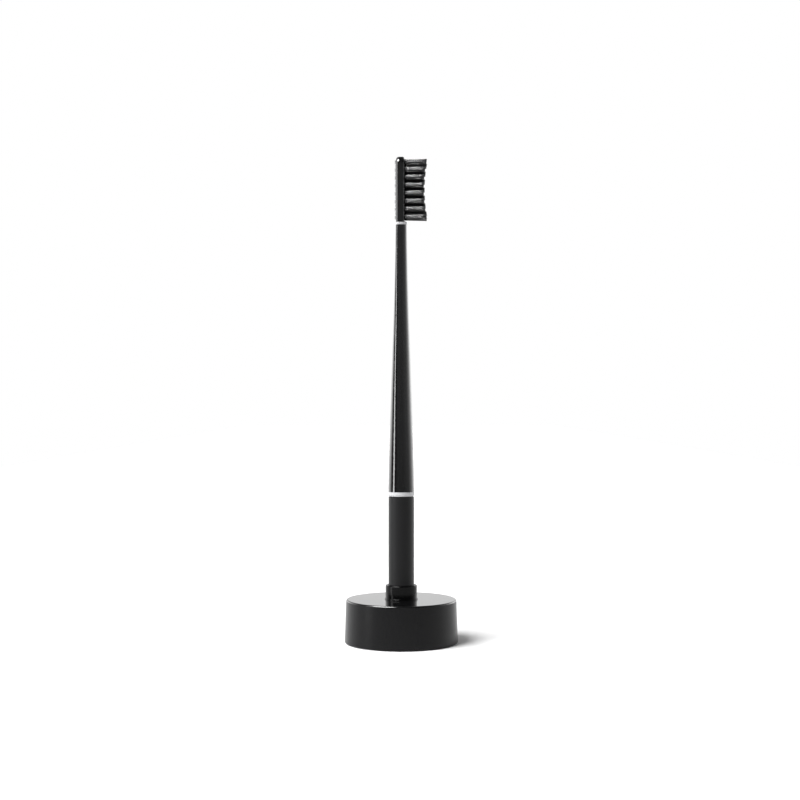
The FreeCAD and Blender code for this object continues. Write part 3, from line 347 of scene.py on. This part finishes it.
def filament(points, radius, vertices, faces):
    """A thin rod along points, with a round tip, added to vertex and face lists."""
    rings = []
    sizes = [1.0] * len(points)
    tip = points[-1] + (points[-1] - points[-2]).normalized() * radius * TIP_LENGTH
    points = points + [tip]
    sizes.append(TIP_RADIUS)
    for point, share in zip(points, sizes):
        ring = []
        for side in range(FILAMENT_SIDES):
            angle = 2 * math.pi * side / FILAMENT_SIDES
            ring.append(len(vertices))
            vertices.append((point.x, point.y + radius * share * math.cos(angle),
                             point.z + radius * share * math.sin(angle)))
        rings.append(ring)
    for lower, upper in zip(rings, rings[1:]):
        for side in range(FILAMENT_SIDES):
            after = (side + 1) % FILAMENT_SIDES
            faces.append((lower[side], lower[after], upper[after], upper[side]))
    faces.append(tuple(rings[-1]))
    faces.append(tuple(reversed(rings[0])))


def make_tufts(node, material, dice):
    """Replace a node of solid tufts with bundles of filaments that spread a little to their tips."""
    boxes = tuft_boxes(node)
    reach = trim_slope(boxes)
    vertices = []
    faces = []
    golden = math.pi * (3 - math.sqrt(5))
    for low, high in boxes:
        middle = (low + high) / 2
        bundle_radius = (high.z - low.z) / 2 - FILAMENT_RADIUS
        for i in range(FILAMENTS_PER_TUFT):
            share = math.sqrt((i + 0.5) / FILAMENTS_PER_TUFT)
            angle = i * golden
            start = Vector((low.x, share * bundle_radius * math.cos(angle),
                            share * bundle_radius * math.sin(angle)))
            flare = 1 + TUFT_FLARE + dice.uniform(-TUFT_FLARE_JITTER, TUFT_FLARE_JITTER)
            drift = Vector((0, dice.gauss(0, SIDE_DRIFT) * MM, dice.gauss(0, SIDE_DRIFT) * MM))
            end_z = middle.z + start.z * flare
            jitter = dice.uniform(-TIP_JITTER, TIP_FORWARD_SHARE * TIP_JITTER)
            end_x = min(reach(end_z) + jitter, cad_bounds[1][0])
            points = []
            for step in range(FILAMENT_STEPS + 1):
                along = step / FILAMENT_STEPS
                bend = along ** FLARE_BEND
                points.append(Vector((low.x + (end_x - low.x) * along,
                                      middle.y + start.y * (1 + (flare - 1) * bend) + drift.y * bend,
                                      middle.z + start.z * (1 + (flare - 1) * bend) + drift.z * bend)))
            filament(points, FILAMENT_RADIUS, vertices, faces)
    mesh = bpy.data.meshes.new(node + "_filaments")
    mesh.from_pydata(vertices, [], faces)
    mesh.materials.append(material)
    for face in mesh.polygons:
        face.use_smooth = len(face.vertices) == 4
    piece = bpy.data.objects.new(node + "_filaments", mesh)
    bpy.context.scene.collection.objects.link(piece)
    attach(piece, "brush_head")
    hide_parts(node)
    return piece


# ---------------------------------------------------------------- studio

def make_floor():
    """A plain pale floor under the base."""
    left, right = -FLOOR_HALF_WIDTH, FLOOR_HALF_WIDTH
    corners = [(left, FLOOR_FRONT, 0), (right, FLOOR_FRONT, 0), (right, FLOOR_BACK, 0),
               (left, FLOOR_BACK, 0)]
    mesh = bpy.data.meshes.new("floor")
    mesh.from_pydata(corners, [], [(0, 1, 2, 3)])
    floor = bpy.data.objects.new("floor", mesh)
    bpy.context.scene.collection.objects.link(floor)
    mesh.materials.append(new_material("floor_white", (0.86, 0.86, 0.86), 0.9, Specular_IOR_Level=0.0))


def world_ramp(tree, source, stops):
    """A grey ramp with (position, value) stops."""
    ramp = tree.nodes.new("ShaderNodeValToRGB")
    elements = ramp.color_ramp.elements
    while len(elements) < len(stops):
        elements.new(0.5)
    for element, (position, value) in zip(elements, stops):
        element.position = position
        element.color = (value, value, value, 1)
    tree.links.new(source, ramp.inputs["Fac"])
    return ramp


def make_world():
    """Reflections see a world graded by bearing and height, diffuse rays an even fill, the camera white."""
    world = bpy.data.worlds.new("studio")
    bpy.context.scene.world = world
    world.use_nodes = True
    tree = world.node_tree
    tree.nodes.clear()
    output = tree.nodes.new("ShaderNodeOutputWorld")
    place = tree.nodes.new("ShaderNodeTexCoord")
    split = tree.nodes.new("ShaderNodeSeparateXYZ")
    tree.links.new(place.outputs["Generated"], split.inputs["Vector"])
    turn = tree.nodes.new("ShaderNodeMath")
    turn.operation = "ARCTAN2"
    tree.links.new(split.outputs["X"], turn.inputs[0])
    flip = tree.nodes.new("ShaderNodeMath")
    flip.operation = "MULTIPLY"
    flip.inputs[1].default_value = -1.0
    tree.links.new(split.outputs["Y"], flip.inputs[0])
    tree.links.new(flip.outputs["Value"], turn.inputs[1])
    # Bearing as a share of a turn: 0 is straight behind by way of the left, 0.5 the front, and 1
    # straight behind by way of the right.
    share = tree.nodes.new("ShaderNodeMapRange")
    share.inputs["From Min"].default_value = -math.pi
    share.inputs["From Max"].default_value = math.pi
    tree.links.new(turn.outputs["Value"], share.inputs["Value"])

    ramp = world_ramp(tree, share.outputs["Result"],
                      [(0.5 + degrees / 360, value) for degrees, value in WORLD_BY_BEARING])
    rise = tree.nodes.new("ShaderNodeMapRange")
    rise.inputs["From Min"].default_value = -1.0
    tree.links.new(split.outputs["Z"], rise.inputs["Value"])
    fade = world_ramp(tree, rise.outputs["Result"], WORLD_BY_HEIGHT)
    strength = tree.nodes.new("ShaderNodeMath")
    strength.operation = "MULTIPLY"
    strength.inputs[1].default_value = WORLD_STRENGTH
    tree.links.new(fade.outputs["Color"], strength.inputs[0])
    light = tree.nodes.new("ShaderNodeBackground")
    tree.links.new(strength.outputs["Value"], light.inputs["Strength"])
    tree.links.new(ramp.outputs["Color"], light.inputs["Color"])
    fill = tree.nodes.new("ShaderNodeBackground")
    fill.inputs["Color"].default_value = (FILL_RADIANCE, FILL_RADIANCE, FILL_RADIANCE, 1)
    seen = tree.nodes.new("ShaderNodeBackground")
    seen.inputs["Color"].default_value = (1, 1, 1, 1)
    path = tree.nodes.new("ShaderNodeLightPath")
    mix = tree.nodes.new("ShaderNodeMixShader")
    soft = tree.nodes.new("ShaderNodeMixShader")
    tree.links.new(path.outputs["Is Diffuse Ray"], soft.inputs["Fac"])
    tree.links.new(light.outputs["Background"], soft.inputs[1])
    tree.links.new(fill.outputs["Background"], soft.inputs[2])
    tree.links.new(path.outputs["Is Camera Ray"], mix.inputs["Fac"])
    tree.links.new(soft.outputs["Shader"], mix.inputs[1])
    tree.links.new(seen.outputs["Background"], mix.inputs[2])
    tree.links.new(mix.outputs["Shader"], output.inputs["Surface"])


def aim(light_object, target):
    """Turn a light to face a point."""
    direction = Vector(target) - light_object.location
    light_object.rotation_euler = direction.to_track_quat("-Z", "Y").to_euler()


def add_sun(name, direction, strength, angle):
    """A far light that comes from a direction, as wide as an angle in degrees."""
    data = bpy.data.lights.new(name, "SUN")
    data.energy = strength
    data.angle = math.radians(angle)
    light = bpy.data.objects.new(name, data)
    bpy.context.scene.collection.objects.link(light)
    light.location = Vector(direction).normalized() * SUN_DISTANCE
    aim(light, (0, 0, 0))
    return light


def add_panel(name, bearing, distance, height, width, tall, power):
    """An upright rectangular light at a bearing in degrees from the front, left being negative."""
    data = bpy.data.lights.new(name, "AREA")
    data.shape = "RECTANGLE"
    data.size = width
    data.size_y = tall
    data.energy = power
    light = bpy.data.objects.new(name, data)
    bpy.context.scene.collection.objects.link(light)
    angle = math.radians(bearing)
    light.location = (distance * math.sin(angle), -distance * math.cos(angle), height)
    aim(light, (0, 0, height))
    light.visible_camera = False
    return light


def shine_only_on(light, pieces):
    """Keep a light off everything but some pieces."""
    receivers = bpy.data.collections.new(light.name + "_receivers")
    for piece in pieces:
        receivers.objects.link(piece)
    light.light_linking.receiver_collection = receivers


def make_camera():
    """The camera at the photograph's viewing angle."""
    data = bpy.data.cameras.new("camera")
    data.sensor_width = SENSOR_WIDTH
    data.lens = FOCAL_LENGTH
    data.clip_start = 0.01
    camera = bpy.data.objects.new("camera", data)
    bpy.context.scene.collection.objects.link(camera)
    camera.location = CAMERA_PLACE
    camera.rotation_euler = (math.pi / 2, 0, 0)
    bpy.context.scene.camera = camera


materials = make_materials()
dress_nodes(materials)
dice = random.Random(SEED)
outer_tufts = make_tufts("outer_tufts", materials["bristle_black"], dice)
make_tufts("inner_tufts", materials["bristle_black"], dice)

make_floor()
make_world()
add_sun("top_box", **TOP_BOX)
add_panel("left_strip", **LEFT_STRIP)
low_strip = add_panel("low_strip", **LOW_STRIP)
low_strip.visible_diffuse = False
shine_only_on(low_strip, [NODES["socket_cup"]])
edge_box = add_sun("edge_box", **EDGE_BOX)
edge_box.visible_diffuse = False
shine_only_on(edge_box, [NODES[name] for name in EDGE_BOX_PIECES])
crown_box = add_sun("crown_box", **CROWN_BOX)
shine_only_on(crown_box, [outer_tufts])
make_camera()
bpy.context.scene.view_settings.view_transform = "Standard"
